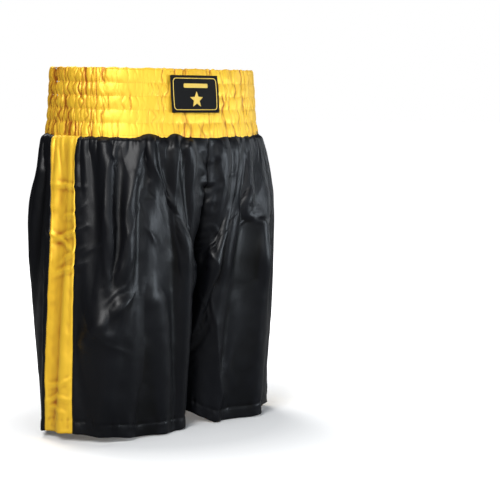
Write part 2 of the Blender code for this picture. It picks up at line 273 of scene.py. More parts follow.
def size_at(z, sizes):
    """The outline's size at height z: a smooth curve through the sizes at OUTLINE_HEIGHTS."""
    heights = OUTLINE_HEIGHTS
    z = np.clip(z, heights[0], heights[-1])
    low = np.maximum(np.arange(len(heights)) - 1, 0)
    high = np.minimum(np.arange(len(heights)) + 1, len(heights) - 1)
    slopes = (sizes[high] - sizes[low]) / (heights[high] - heights[low])
    i = np.clip(np.searchsorted(heights, z, side="right") - 1, 0, len(heights) - 2)
    span = heights[i + 1] - heights[i]
    t = (z - heights[i]) / span
    return (
        sizes[i] * (2 * t**3 - 3 * t**2 + 1)
        + slopes[i] * span * (t**3 - 2 * t**2 + t)
        + sizes[i + 1] * (3 * t**2 - 2 * t**3)
        + slopes[i + 1] * span * (t**3 - t**2)
    )


def trunk_point(turn, z):
    angle = np.pi * turn
    depth = np.where(np.cos(angle) > 0, size_at(z, FRONT_DEPTHS), size_at(z, BACK_DEPTHS))
    return -size_at(z, HALF_WIDTHS) * power(np.sin(angle)), -depth * power(np.cos(angle))


def leg_point(turn, z):
    angle = 2 * np.pi * turn
    inner = LEG_GAP / 2 * smoothstep((CROTCH_HEIGHT - z) / LEG_GAP_FROM)
    width = size_at(z, HALF_WIDTHS)
    depth = np.where(np.sin(angle) > 0, size_at(z, FRONT_DEPTHS), size_at(z, BACK_DEPTHS))
    square = np.where(turn < 0.25, INNER_SQUARENESS, SQUARENESS)
    x = -(width + inner) / 2 + (width - inner) / 2 * power(np.cos(angle), square)
    return x, -depth * power(np.sin(angle), square)


def tilted(x, y, z):
    rise = WAIST_TILT * y * smoothstep((z - CROTCH_HEIGHT) / RISE)
    return np.stack([x, y + DEPTH_SHIFT, z + rise], axis=-1)


def body_point(turn, down):
    """Points on the outside of the right half's cloth."""
    turn, down = np.broadcast_arrays(np.asarray(turn, float), np.asarray(down, float))
    z_side = SEAM_HEIGHT * (1 - down)
    arc = np.pi / 2 * np.clip(down / CROTCH_DOWN, 0, 1)
    near_seam = 1 - smoothstep(4 * np.minimum(turn, 1 - turn))
    z = mix(z_side, SEAM_HEIGHT - RISE * np.sin(arc), near_seam)
    parted = mix(smoothstep(down / CROTCH_DOWN), 1 - np.cos(arc), near_seam)
    z = np.where((down <= 0) | (down >= CROTCH_DOWN), z_side, z)
    trunk, leg = trunk_point(turn, z), leg_point(turn, z)
    return tilted(mix(trunk[0], leg[0], parted), mix(trunk[1], leg[1], parted), z)


def turn_where(y, down):
    low, high = np.full_like(down, 0.25), np.full_like(down, 0.75)
    for _ in range(30):
        middle = (low + high) / 2
        before = body_point(middle, down)[..., 1] < y + DEPTH_SHIFT
        low, high = np.where(before, middle, low), np.where(before, high, middle)
    return (low + high) / 2


def band_point(angle, height, offset):
    """Points on the waistband: angle from the centre front towards the wearer's right."""
    z = SEAM_HEIGHT + height
    step = 1e-4
    x0, y0 = trunk_point((angle - step) / np.pi, z)
    x1, y1 = trunk_point((angle + step) / np.pi, z)
    length = np.hypot(x1 - x0, y1 - y0)
    x, y = trunk_point(angle / np.pi, z)
    return tilted(x - (y1 - y0) / length * offset, y + (x1 - x0) / length * offset, z)


def normals_of(grid):
    """The outward unit normals of a grid of points whose rows run down and columns run from front to back."""
    return units(np.cross(np.gradient(grid, axis=1), np.gradient(grid, axis=0)))


# ---------------- materials

# Each satin's dark and light tone, and the painted shade colour it turns to deep in creases
BLACK_TONES_AND_CREASE_SHADE = ((0.0020, 0.0022, 0.0032), (0.0038, 0.0042, 0.0058), (0.001, 0.001, 0.001))
GOLD_TONES_AND_CREASE_SHADE = ((0.90, 0.52, 0.028), (1.00, 0.62, 0.040), (0.40, 0.105, 0.004))
SATIN_TONE = {"Scale": 9, "Detail": 3}
SATIN_TONE_ENDS = (0.32, 0.68)
SATIN_ROUGHNESS_SPREAD = 0.05
SATIN_THREADS = {"X": 420, "Y": 260}
SATIN_WEAVE = 0.10
EMBROIDERY_THREADS = {"Scale": 380, "Distortion": 1.0}


def satin(name, dark, light, deep, roughness, shine, tint=0.0):
    """Polyester satin: long smooth threads that shine, in a fine weave, with shade painted into its colour
    deep in creases.
    """
    made, tree, shader = new_material(name)
    tone = new_node(tree, "TexNoise", {"Vector": coordinates(tree, "Object"), **SATIN_TONE})["Fac"]
    ramp = new_node(tree, "ValToRGB", {"Fac": tone})["Color"]
    for element, end, colour in zip(ramp.node.color_ramp.elements, SATIN_TONE_ENDS, (dark, light)):
        element.position = end
        element.color = (*colour, 1)
    painted_crease_shade = new_node(tree, "Attribute", {}, attribute_name="painted_crease_shade")["Fac"]
    low, high = roughness - SATIN_ROUGHNESS_SPREAD, roughness + SATIN_ROUGHNESS_SPREAD
    gloss = new_node(tree, "MapRange", {"Value": tone, "To Min": low, "To Max": high})["Result"]
    threads = {}
    for k, (direction, count) in enumerate(SATIN_THREADS.items()):
        shape = {"Scale": count, "Distortion": 1.5, "Detail Scale": 3, "Vector": coordinates(tree, "UV")}
        threads[k] = new_node(tree, "TexWave", shape, bands_direction=direction)["Fac"]
    weave = new_node(tree, "Math", threads, operation="ADD")[0]
    connect(
        tree,
        shader,
        {
            # painted shade: the colour turns to the deep tone in creases
            "Base Color": mixed(tree, painted_crease_shade, ramp, (*deep, 1)),
            "Roughness": gloss,
            "Specular IOR Level": shine,
            "Anisotropic": 0.4,
            "Metallic": tint,
            "Normal": bump(tree, weave, SATIN_WEAVE, 0.0002),
        },
    )
    return made


def plain_cloth(name, colour, roughness, scale=900, bump_strength=0.4):
    """A dull woven cloth, thread or tag."""
    made, tree, shader = new_material(name)
    shape = {"Vector": coordinates(tree, "Object"), "Scale": scale, "Detail": 2}
    grain = new_node(tree, "TexNoise", shape)["Fac"]
    tone = mixed(tree, grain, toned(colour, 0.82), toned(colour, 1.12))
    normal = bump(tree, grain, bump_strength, 0.0003)
    look = {"Base Color": tone, "Roughness": roughness, "Specular IOR Level": 0.2, "Normal": normal}
    connect(tree, shader, look)
    return made


def embroidered(name, colour):
    """Raised satin stitch: fine parallel threads."""
    made, tree, shader = new_material(name)
    shape = {"Vector": coordinates(tree, "Object"), **EMBROIDERY_THREADS}
    wave = new_node(tree, "TexWave", shape, bands_direction="Z")["Fac"]
    tone = mixed(tree, wave, toned(colour, 0.7), toned(colour, 1))
    connect(tree, shader, {"Base Color": tone, "Roughness": 0.45, "Normal": bump(tree, wave, 0.5, 0.0003)})
    return made


# ---------------- meshes


def grid_faces(rows, columns, closed):
    """The four-sided faces of a grid of points, turned outward where its rows run down the outside."""
    cells = columns if closed else columns - 1
    i, j = np.meshgrid(np.arange(rows - 1) * columns, np.arange(cells), indexing="ij")
    k = (j + 1) % columns
    return np.stack([i + j, i + columns + j, i + columns + k, i + k], -1).reshape(-1, 4).tolist()


def grid_object(name, grid, uv, finish, closed=False, painted_crease_shade=None):
    """A mesh of a grid of points, with its UV map in metres and, where given, how much painted shade each
    point gets in creases.

    A closed grid joins its last column to its first."""
    rows, columns = grid.shape[:2]
    made = mesh_object(name, grid, grid_faces(rows, columns, closed), finish)
    step = uv[0, 1] - uv[0, 0]
    uv = uv if closed else uv[:, :-1]
    corners = np.stack([uv[:-1], uv[1:], uv[1:] + step, uv[:-1] + step], -2)
    layer = made.data.uv_layers.new(name="cloth")
    layer.data.foreach_set("uv", corners.reshape(-1).astype(np.float32))
    if painted_crease_shade is not None:
        values = made.data.attributes.new("painted_crease_shade", "FLOAT", "POINT")
        values.data.foreach_set("value", np.clip(painted_crease_shade, 0, 1).reshape(-1).astype(np.float32))
    return made


def thicken(obj, thickness):
    shell = obj.modifiers.new("cloth", "SOLIDIFY")
    shell.thickness = thickness
    shell.offset = -1


# ---------------- the body's folds, before it is draped

FRONT_COLUMNS = 46
STRIPE_COLUMNS = 12
BACK_COLUMNS = 50
TUCK_ROWS = 2
TRUNK_ROWS = 42
LEG_ROWS = 52
TUCK = 0.006
GATHERS = 58
FULL_AT_SEAMS = 0.0020  # how far the gathered cloth stands out from under the waistband
FULL_AT_SIDES = 0.0040
FULL_LENGTH = 0.038
FULL_AT_HIPS = {"R": 0.0, "L": 0.006}
HIPS_BELOW = 0.075  # below the waist seam
HIPS_REACH = 0.080
HEM_CLEARANCE = 0.0010
LIFTED_FROM = 0.55  # the share down where a lifted hem starts to pull the cloth up


def body_rows():
    """Every row's share down: a tuck behind the waistband, the trunk to the crotch, then the legs."""
    tuck = np.linspace(-TUCK / SEAM_HEIGHT, 0, TUCK_ROWS + 1)[:-1]
    trunk = np.linspace(0, CROTCH_DOWN, TRUNK_ROWS + 1)[:-1]
    legs = np.linspace(CROTCH_DOWN, 1, LEG_ROWS + 1)
    return np.concatenate([tuck, trunk, legs])


def body_turns(down):
    """The turn of every column of every row, with columns that follow the stripe's two edges."""
    down = down[:, None]
    forward = STRIPE_FORWARD - STRIPE_BACK_AT_WAIST * (1 - smoothstep(down / STRIPE_CURVE))
    front = turn_where(-forward - STRIPE_WIDTH / 2, down)
    back = turn_where(-forward + STRIPE_WIDTH / 2, down)
    return np.concatenate(
        [
            front * np.linspace(0, 1, FRONT_COLUMNS + 1)[None, :-1],
            mix(front, back, np.linspace(0, 1, STRIPE_COLUMNS + 1)[None, :-1]),
            mix(back, 1, np.linspace(0, 1, BACK_COLUMNS + 1)[None, :]),
        ],
        axis=1,
    )


# Broad folds, which the drape works on: (sides, width, height, [(turn, down), ...]), sizes in metres.
BROAD_FOLDS = (
    ("R", 0.011, 0.005, [(0.18, 0), (0.17, 0.1), (0.17, 0.22)]),
    ("R", 0.01, 0.0045, [(0.09, 0), (0.11, 0.12), (0.17, 0.23)]),
    ("R", 0.018, 0.007, [(0.17, 0.2), (0.21, 0.4), (0.17, 0.65), (0.15, 1)]),
    ("R", 0.022, 0.006, [(0.08, 0.36), (0.09, 0.65), (0.08, 1)]),
    ("R", 0.012, 0.0045, [(0.2, 0.02), (0.31, 0.22), (0.33, 0.38), (0.37, 0.52)]),
    ("R", 0.011, 0.004, [(0.3, 0.02), (0.38, 0.24), (0.38, 0.42)]),
    ("R", 0.014, 0.004, [(0.31, 0.48), (0.38, 0.6), (0.43, 0.7)]),
    ("R", 0.024, 0.004, [(0.42, 0.5), (0.35, 0.72), (0.31, 1)]),
    ("R", 0.014, 0.003, [(0.475, 0.36), (0.48, 0.5), (0.475, 0.75), (0.48, 1)]),
    ("R", 0.035, 0.006, [(0.36, 0.45), (0.29, 0.7), (0.27, 1)]),
    ("R", 0.026, 0.0075, [(0.26, 0.42), (0.24, 0.7), (0.23, 1)]),
    ("R", 0.014, 0.0045, [(0.36, 0.55), (0.34, 0.78), (0.35, 1)]),
    ("L", 0.026, 0.007, [(0.27, 0.3), (0.28, 0.6), (0.27, 1)]),
    ("L", 0.012, 0.005, [(0.03, 0.22), (0.13, 0.38), (0.18, 0.62), (0.21, 0.9), (0.2, 1)]),
    ("L", 0.03, 0.007, [(0.12, 0.14), (0.16, 0.3), (0.2, 0.5)]),
    ("L", 0.012, 0.004, [(0.12, 0.03), (0.18, 0.16), (0.26, 0.3), (0.28, 0.55)]),
    ("RL", 0.016, 0.006, [(0.72, 0.03), (0.7, 0.3), (0.68, 0.6), (0.69, 1)]),
    ("RL", 0.014, 0.0055, [(0.84, 0.05), (0.8, 0.3), (0.8, 0.6), (0.79, 0.98)]),
    ("RL", 0.014, 0.006, [(0.97, 0.5), (0.88, 0.62), (0.88, 0.8), (0.9, 1)]),
    ("RL", 0.012, 0.004, [(0.62, 0.05), (0.59, 0.25), (0.6, 0.5)]),
)

# Sharp creases, pressed in after the drape: (sides, height, [(turn, down), ...]).
SHARP_CREASES = (
    ("R", 0.0018, [(0.2, 0.02), (0.255, 0.12), (0.305, 0.21), (0.325, 0.27), (0.325, 0.37), (0.315, 0.41)]),
    ("R", 0.0016, [(0.315, 0.41), (0.325, 0.46), (0.37, 0.52)]),
    ("R", 0.0015, [(0.3, 0.01), (0.355, 0.14), (0.385, 0.25), (0.4, 0.3)]),
    ("R", 0.0018, [(0.395, 0.32), (0.385, 0.41), (0.37, 0.445)]),
    ("R", 0.0018, [(0.215, 0.13), (0.325, 0.305), (0.345, 0.375), (0.37, 0.445)]),
    ("R", 0.002, [(0.155, 0), (0.18, 0.07), (0.17, 0.145), (0.175, 0.22)]),
    ("R", 0.002, [(0.105, 0), (0.09, 0.03), (0.11, 0.12), (0.175, 0.22)]),
    ("R", 0.0016, [(0.125, 0.02), (0.14, 0.08), (0.145, 0.17)]),
    ("R", 0.0018, [(0.175, 0.21), (0.225, 0.3), (0.225, 0.39), (0.21, 0.52)]),
    ("R", 0.0022, [(0.265, 0.28), (0.25, 0.36)]),
    ("R", 0.0016, [(0.4, 0.325), (0.45, 0.37)]),
    ("R", 0.001, [(0.29, 0.46), (0.33, 0.53), (0.375, 0.6)]),
    ("R", 0.0012, [(0.44, 0.53), (0.4, 0.6), (0.34, 0.66), (0.29, 0.69)]),
    ("R", 0.0014, [(0.1, 0.45), (0.12, 0.62), (0.11, 0.8)]),
    ("R", 0.0018, [(0.05, 0.01), (0.075, 0.1)]),
    ("R", 0.0018, [(0.035, 0.035), (0.05, 0.125), (0.06, 0.17)]),
    ("R", 0.0016, [(0.045, 0.01), (0.085, 0.03)]),
    ("R", 0.0032, [(0.435, 0.15), (0.475, 0.155), (0.53, 0.15)]),
    ("R", 0.0026, [(0.44, 0.205), (0.47, 0.245), (0.5, 0.255)]),
    ("R", 0.003, [(0.44, 0.275), (0.475, 0.305), (0.52, 0.34)]),
    ("R", 0.003, [(0.47, 0.36), (0.53, 0.3)]),
    ("R", 0.0028, [(0.44, 0.395), (0.475, 0.415), (0.51, 0.44)]),
    ("R", 0.0024, [(0.445, 0.345), (0.475, 0.375), (0.5, 0.4)]),
    ("R", 0.0024, [(0.45, 0.8), (0.48, 0.83), (0.52, 0.835)]),
    ("R", 0.0016, [(0.525, 0.36), (0.53, 0.44)]),
    ("R", 0.0022, [(0.525, 0.44), (0.53, 0.62), (0.525, 0.82), (0.52, 0.95)]),
    ("R", 0.0024, [(0.445, 0.88), (0.49, 0.87), (0.53, 0.895)]),
    ("R", 0.0022, [(0.455, 0.93), (0.52, 0.91)]),
    ("L", 0.0018, [(0.01, 0.01), (0.02, 0.06), (0.035, 0.1), (0.06, 0.14)]),
    ("L", 0.0016, [(0.045, 0.02), (0.045, 0.075), (0.065, 0.08), (0.08, 0.05)]),
    ("L", 0.0018, [(0.12, 0.04), (0.16, 0.13), (0.22, 0.215), (0.26, 0.28)]),
    ("L", 0.002, [(0.02, 0.21), (0.065, 0.29), (0.13, 0.38), (0.18, 0.62), (0.215, 0.9), (0.2, 1)]),
    ("L", 0.0016, [(0.02, 0.2), (0.105, 0.275)]),
    ("L", 0.0014, [(0.08, 0.48), (0.14, 0.56), (0.17, 0.66)]),
    ("RL", 0.0018, [(0.93, 0.02), (0.9, 0.16), (0.92, 0.26)]),
    ("RL", 0.0018, [(0.98, 0.3), (0.92, 0.4), (0.86, 0.44)]),
    ("RL", 0.0018, [(0.97, 0.38), (0.9, 0.5), (0.87, 0.68), (0.88, 0.9)]),
    ("RL", 0.0016, [(0.78, 0.02), (0.75, 0.2), (0.77, 0.36)]),
    ("RL", 0.0016, [(0.7, 0.3), (0.74, 0.5), (0.71, 0.72)]),
    ("L", 0.0018, [(0.445, 0.2), (0.5, 0.19), (0.56, 0.21)]),
    ("L", 0.0018, [(0.46, 0.38), (0.51, 0.41), (0.55, 0.36)]),
    ("L", 0.0018, [(0.5, 0.5), (0.49, 0.75), (0.51, 0.95)]),
)


def metres_across(grid):
    """How far each point of a grid is along its own row from the row's middle column, in metres."""
    steps = lengths(np.diff(grid, axis=1))
    along = np.concatenate([np.zeros((len(grid), 1)), np.cumsum(steps, axis=1)], axis=1)
    return along - along[:, along.shape[1] // 2, None]


def near(value, width):
    return np.exp(-((value / width) ** 2))


def fold_height(turn, down, across, path, width, height):
    """The height of one rounded fold that follows a path and fades at its ends, except at waist and hem."""
    path = np.array(path, float)
    at = np.interp(down[:, 0], path[:, 1], path[:, 0])
    centre = np.array([np.interp(t, turn[i], across[i]) for i, t in enumerate(at)])[:, None]
    first, last = path[0, 1], path[-1, 1]
    share = (down - first) / (last - first)
    ends = smoothstep(share / 0.18 + (first < 0.01)) * smoothstep((1 - share) / 0.25 + (last > 0.99))
    inside = (share > -0.02) & (share < 1.02)
    return height * ends * inside * near(across - centre, width)


def gathers(across, below):
    """The small folds that the waist seam presses into the cloth, spreading as the cloth widens below it."""
    total = np.zeros_like(across)
    edge = across[TUCK_ROWS]
    narrowing = (edge[-1] - edge[0]) / (across[:, -1:] - across[:, :1])
    spread = across * np.where(below > 0, narrowing, 1 / narrowing)
    for _ in range(GATHERS // 2):
        centre = RANDOM.uniform(edge[0], edge[-1])
        width = RANDOM.uniform(0.0045, 0.0085)
        length = RANDOM.uniform(0.025, 0.060) * (2.2 if RANDOM.random() < 0.28 else 1)
        height = RANDOM.uniform(0.0014, 0.0036)
        lean = RANDOM.normal(0, 0.10)
        reach = np.clip(below, 0, None) / length
        fold = near(spread - centre - lean * below, width * (1 + 1.1 * reach))
        total += height * fold * np.exp(-(reach**1.5))
    return total


def value_noise(x, y, seed):
    """Smooth noise from -1 to 1, with one random value at each whole x and y."""
    table = np.random.default_rng(seed).uniform(-1, 1, (64, 64))
    x0, y0 = np.floor(x).astype(int), np.floor(y).astype(int)
    fx, fy = smoothstep(x - x0), smoothstep(y - y0)

    def corner(i, j):
        return table[(x0 + i) % 64, (y0 + j) % 64]

    return mix(mix(corner(0, 0), corner(1, 0), fx), mix(corner(0, 1), corner(1, 1), fx), fy)


# How far the hem hangs above its lowest point, in metres, at each turn of each leg
HEM_TURNS = [0, 0.05, 0.10, 0.15, 0.20, 0.25, 0.30, 0.35, 0.40, 0.45, 0.50, 0.55, 0.75, 1]
HEM_LIFTS = {
    "R": [0.003, 0.002, 0.001, 0.001, 0.000, 0.002, 0.008, 0.010, 0.013, 0.014, 0.012, 0.009, 0.004, 0.003],
    "L": [0.021, 0.020, 0.016, 0.009, 0.000, 0.000, 0.005, 0.009, 0.008, 0.007, 0.006, 0.005, 0.005, 0.021],
}


def folded_half(side, down, turn):
    """The right half's surface with one side's folds on it, still on the right."""
    grid = body_point(turn, down[:, None])
    across = metres_across(grid)
    deep = np.broadcast_to(down[:, None], turn.shape)
    below = deep * SEAM_HEIGHT
    height = gathers(across, below) * smoothstep(below / 0.010)
    for sides, width, tall, path in BROAD_FOLDS:
        if side in sides:
            height += fold_height(turn, deep, across, path, width, tall)
    seed = 5 if side == "R" else 6
    loose = smoothstep((below - 0.02) / 0.10)
    height += 0.0018 * loose * value_noise(across / 0.055 + 20, below / 0.16, seed)
    height += 0.0012 * loose * value_noise(across / 0.024 + 20, below / 0.06 + across / 0.05, seed + 10)
    height = np.where(below < 0, height * (1 + below / TUCK), height)
    seam = np.minimum(turn, 1 - turn)
    height *= 0.25 + 0.75 * smoothstep(seam / 0.05)
    return grid + normals_of(grid) * height[..., None]


def filled_out(grid, down, turn, side):
    """The draped cloth, standing out from under the waistband and with its hem lifted to where it hangs."""
    deep = down[:, None]
    below = deep * SEAM_HEIGHT
    level = units(normals_of(grid) * (1, 1, 0))
    aside = smoothstep((turn - 0.10) / 0.20) * smoothstep((0.97 - turn) / 0.15)
    fullness = mix(FULL_AT_SEAMS, FULL_AT_SIDES, aside)
    fullness *= smoothstep(below / 0.004) * np.exp(-np.clip(below, 0, None) / FULL_LENGTH)
    fullness += FULL_AT_HIPS[side] * aside * near(below - HIPS_BELOW, HIPS_REACH)
    grid = grid + level * fullness[..., None]
    lift = np.interp(turn[-1], HEM_TURNS, HEM_LIFTS[side]) + HEM_CLEARANCE - grid[-1, :, 2]
    grid[..., 2] += lift * smoothstep((deep - LIFTED_FROM) / (1 - LIFTED_FROM))
    return grid


# ---------------- the drape

DRAPE_FRAMES = 22
HOLD_WAIST = 1.0
HOLD_BODY = 0.09
HOLD_SEAMS = 0.16
HOLD_GATHERS = 0.30
DRAPE_GRAVITY = 0.35
DRAPE_SETTINGS = {
    "quality": 6,
    "mass": 0.15,
    "tension_stiffness": 12,
    "compression_stiffness": 12,
    "shear_stiffness": 6,
    "bending_stiffness": 0.8,
    "tension_damping": 4,
    "compression_damping": 4,
    "air_damping": 1.5,
    "pin_stiffness": 1.0,
    "shrink_min": -0.014,  # the cloth is this share too big, so it falls into folds
}


def draped(halves):
    """Both halves, joined at their seams, relaxed by a short cloth simulation and read back as two grids."""
    rows, columns = halves["R"].shape[:2]
    count = rows * columns
    number = {side: np.arange(count).reshape(rows, columns) + k * count for k, side in enumerate("RL")}
    same = np.arange(2 * count)
    crotch = TUCK_ROWS + TRUNK_ROWS
    for row in range(rows):
        if row <= crotch:
            same[number["L"][row, 0]] = number["R"][row, 0]
            same[number["L"][row, -1]] = number["R"][row, -1]
        if row >= crotch:
            for side in "RL":
                same[number[side][row, -1]] = same[number[side][row, 0]]
    points = np.concatenate([halves["R"].reshape(-1, 3), halves["L"].reshape(-1, 3) * MIRROR])
    seams = np.flatnonzero(same != np.arange(2 * count))
    middle = (points[seams] + points[same[seams]]) / 2
    points[same[seams]] = middle
    kept, index = np.unique(same, return_inverse=True)
    faces = []
    for side in "RL":
        n = number[side]
        quads = np.stack([n[:-1, :-1], n[1:, :-1], n[1:, 1:], n[:-1, 1:]], -1).reshape(-1, 4)
        faces.append(quads if side == "R" else quads[:, ::-1])
    faces = index[np.concatenate(faces)]
    mesh = bpy.data.meshes.new("drape")
    mesh.from_pydata(points[kept].tolist(), [], faces.tolist())
    cloth_object = placed("drape", mesh)

    hold = np.full((rows, columns), HOLD_BODY)
    for column in (0, FRONT_COLUMNS, FRONT_COLUMNS + STRIPE_COLUMNS, columns - 1):
        hold[:, column] = HOLD_SEAMS
    hold[: TUCK_ROWS + 4] = HOLD_GATHERS
    hold[: TUCK_ROWS + 1] = HOLD_WAIST
    weights = np.concatenate([hold.reshape(-1)] * 2)[kept]
    group = cloth_object.vertex_groups.new(name="hold")
    for weight in np.unique(weights):
        group.add(np.flatnonzero(weights == weight).tolist(), float(weight), "REPLACE")

    modifier = cloth_object.modifiers.new("drape", "CLOTH")
    settings = modifier.settings
    for name, value in DRAPE_SETTINGS.items():
        setattr(settings, name, value)
    settings.vertex_group_mass = group.name
    settings.effector_weights.gravity = DRAPE_GRAVITY
    modifier.collision_settings.use_collision = False
    modifier.point_cache.frame_start = 1
    modifier.point_cache.frame_end = DRAPE_FRAMES
    scene = bpy.context.scene
    for step in range(1, DRAPE_FRAMES + 1):
        scene.frame_set(step)
    graph = bpy.context.evaluated_depsgraph_get()
    result = cloth_object.evaluated_get(graph).to_mesh()
    relaxed = np.empty(len(result.vertices) * 3)
    result.vertices.foreach_get("co", relaxed)
    scene.frame_set(1)
    bpy.data.objects.remove(cloth_object)
    points = relaxed.reshape(-1, 3)[index]
    right = points[:count].reshape(rows, columns, 3)
    left = points[count:].reshape(rows, columns, 3) * MIRROR
    return {"R": right, "L": left}


def doubled(grid, axis):
    """A grid with a point added between each two, on a smooth curve through its neighbours."""
    grid = np.moveaxis(grid, axis, 0)
    before = np.concatenate([2 * grid[:1] - grid[1:2], grid[:-2]])
    after = np.concatenate([grid[2:], 2 * grid[-1:] - grid[-2:-1]])
    between = (9 * (grid[:-1] + grid[1:]) - before - after) / 16
    result = np.empty((2 * len(grid) - 1, *grid.shape[1:]))
    result[0::2] = grid
    result[1::2] = between
    return np.moveaxis(result, 0, axis)


def finer(grid):
    """A grid with its rows doubled once and its columns twice."""
    return doubled(doubled(doubled(grid, 0), 1), 1)


# ---------------- the body's fine detail and its panels

CLOTH = 0.0006
FRONT_FLAT = (0.30, 0.49)  # the panels' cut sizes
STRIPE_FLAT = (STRIPE_WIDTH, 0.49)
BACK_FLAT = (0.33, 0.50)
CREASE_WIDTH = 0.0034
CREST_ROUND = 0.0009
SMALL_GATHERS = 90
HEM_STITCH_HEIGHT = 0.0192
HEM_TURN_GAP = 0.0014
# the bend of the cloth at which a hollow gets its full painted shade
FULL_SHADE_HOLLOW_DEPTH = 0.0055
FOLDS_AGAIN = 0.5  # the drape softens the broad folds by about this share
SEAM_GROOVE = 0.0014
SEAM_GROOVE_WIDTH = 0.0016
CENTRE_PUCKERS = (0.0034, 0.6)  # their height, and the share of it that they lose on the legs
SIDE_PUCKERS = (0.0005, 0)
PUCKER_SPACING = 0.0085
SLANTED_SPACING = 0.013
SEWN_REACH = 16  # columns that move with a seam
FINE_ROWS = 2  # the final grid's rows and columns for each one that is draped
FINE_COLUMNS = 4
FIRST_STRIPE_COLUMN = FINE_COLUMNS * FRONT_COLUMNS
LAST_STRIPE_COLUMN = FINE_COLUMNS * (FRONT_COLUMNS + STRIPE_COLUMNS)


def crease_height(turn, down, across, length, path, height):
    """The height of a sharp ridge along a path, which rises and fades within its own length."""
    ends = [(int(np.searchsorted(down[:-1], d)), t) for t, d in path]
    places = np.array([(np.interp(t, turn[i], across[i]), np.interp(t, turn[i], length[i])) for i, t in ends])
    along = travelled(places)
    best = np.full(across.shape, 1.0)
    share = np.zeros(across.shape)
    for start, end, before, step in zip(places, places[1:], along, np.diff(along)):
        way = (end - start) / step
        t = np.clip((across - start[0]) * way[0] + (length - start[1]) * way[1], 0, step)
        gap = np.hypot(across - start[0] - way[0] * t, length - start[1] - way[1] * t)
        share = np.where(gap < best, (before + t) / along[-1], share)
        best = np.minimum(best, gap)
    swell = np.sin(np.pi * np.clip(0.08 + 0.90 * share, 0, 1)) ** 0.7
    crest = np.exp(-np.sqrt(best**2 + CREST_ROUND**2) / CREASE_WIDTH)
    return height * swell * (1.45 * crest - 0.35 * near(best, 3.2 * CREASE_WIDTH))


def small_gathers(across, below, side):
    """Short sharp folds under the waist seam."""
    total = np.zeros_like(across)
    edge = across[FINE_ROWS * TUCK_ROWS]
    spread = across * (edge[-1] - edge[0]) / (across[:, -1:] - across[:, :1])
    random = np.random.default_rng(51 if side == "R" else 52)
    for _ in range(SMALL_GATHERS):
        centre = random.uniform(edge[0], edge[-1])
        width = random.uniform(0.0016, 0.0032)
        length = random.uniform(0.008, 0.030) * (2 if random.random() < 0.25 else 1)
        height = random.uniform(0.0006, 0.0017)
        lean = random.normal(0, 0.14)
        reach = np.clip(below, 0, None) / length
        gap = np.abs(spread - centre - lean * below)
        total += height * np.exp(-gap / (width * (1 + reach))) * np.exp(-(reach**2))
    return total


def puckers(away, length, down, seed, height, less_on_legs):
    """The small folds that a seam draws into the cloth beside it."""
    below = down * SEAM_HEIGHT
    held = 1 - less_on_legs * smoothstep((down - CROTCH_DOWN * 0.96) / 0.1)
    held = held * smoothstep((below - 0.002) / 0.012)
    beside = np.abs(away)
    waves = value_noise(length / PUCKER_SPACING, beside / 0.02, seed)
    slanted = value_noise((length + 0.5 * beside) / SLANTED_SPACING, beside / 0.05, seed + 1)
    return height * held * (waves + slanted) * near(beside - 0.004, 0.010)


def fine_detail(grid, down, turn, side):
    """The draped cloth with its small gathers, sharp creases, seams and the hem's stitched edge."""
    across = metres_across(grid)
    steps = lengths(np.diff(grid, axis=0))
    length = np.concatenate([np.zeros((1, grid.shape[1])), np.cumsum(steps, axis=0)])
    up = length[-1] - length
    deep = down[:, None]
    below = deep * SEAM_HEIGHT
    seed = 31 if side == "R" else 41
    height = small_gathers(across, below, side) * smoothstep((below - 0.001) / 0.007)
    for sides, tall, path in SHARP_CREASES:
        if side in sides:
            height += crease_height(turn, down, across, length, path, tall)
    for sides, width, tall, path in BROAD_FOLDS:
        if side in sides:
            height += FOLDS_AGAIN * fold_height(turn, deep, across, path, width, tall)
    last = grid.shape[1] - 1
    for column, pucker in (
        (0, CENTRE_PUCKERS),
        (FIRST_STRIPE_COLUMN, SIDE_PUCKERS),
        (LAST_STRIPE_COLUMN, SIDE_PUCKERS),
        (last, CENTRE_PUCKERS),
    ):
        away = across - across[:, column, None]
        height -= SEAM_GROOVE * near(away, SEAM_GROOVE_WIDTH)
        height += puckers(away, length, deep, seed + column, *pucker)
    small = value_noise(across / 0.0045 + 50, up / 0.02, seed + 3)
    height -= near(up - HEM_STITCH_HEIGHT, 0.0016) * (0.0007 - 0.0004 * small)
    height += 0.0007 * small * near(up - HEM_STITCH_HEIGHT, 0.012)
    height += 0.0004 * value_noise(across / 0.007 + 9, up / 0.009, seed + 4) * (up < HEM_STITCH_HEIGHT)
    height += 0.00035 * value_noise(across / 0.012 + 30, below / 0.018, seed + 5)
    return grid + normals_of(grid) * height[..., None]


def pulled(grid, column, target):
    """The grid with one edge column moved onto the target, and the columns beside it part of the way."""
    steps = np.arange(SEWN_REACH)
    share = 1 - smoothstep(steps / SEWN_REACH)
    columns = steps if column == 0 else grid.shape[1] - 1 - steps
    moved = grid.copy()
    moved[:, columns] += (target - grid[:, column])[:, None] * share[None, :, None]
    return moved


def sewn_together(surfaces):
    """Both halves with their edges meeting: each other's above the crotch, and their own down each leg."""
    crotch = FINE_ROWS * (TUCK_ROWS + TRUNK_ROWS)
    for column in (0, -1):
        right, left = surfaces["R"][: crotch + 1], surfaces["L"][: crotch + 1]
        seam = (right[:, column] + left[:, column] * MIRROR) / 2
        surfaces["R"][: crotch + 1] = pulled(right, column, seam)
        surfaces["L"][: crotch + 1] = pulled(left, column, seam * MIRROR)
    for side in "RL":
        leg = surfaces[side][crotch + 1 :]
        seam = (leg[:, 0] + leg[:, -1]) / 2
        surfaces[side][crotch + 1 :] = pulled(pulled(leg, 0, seam), -1, seam)


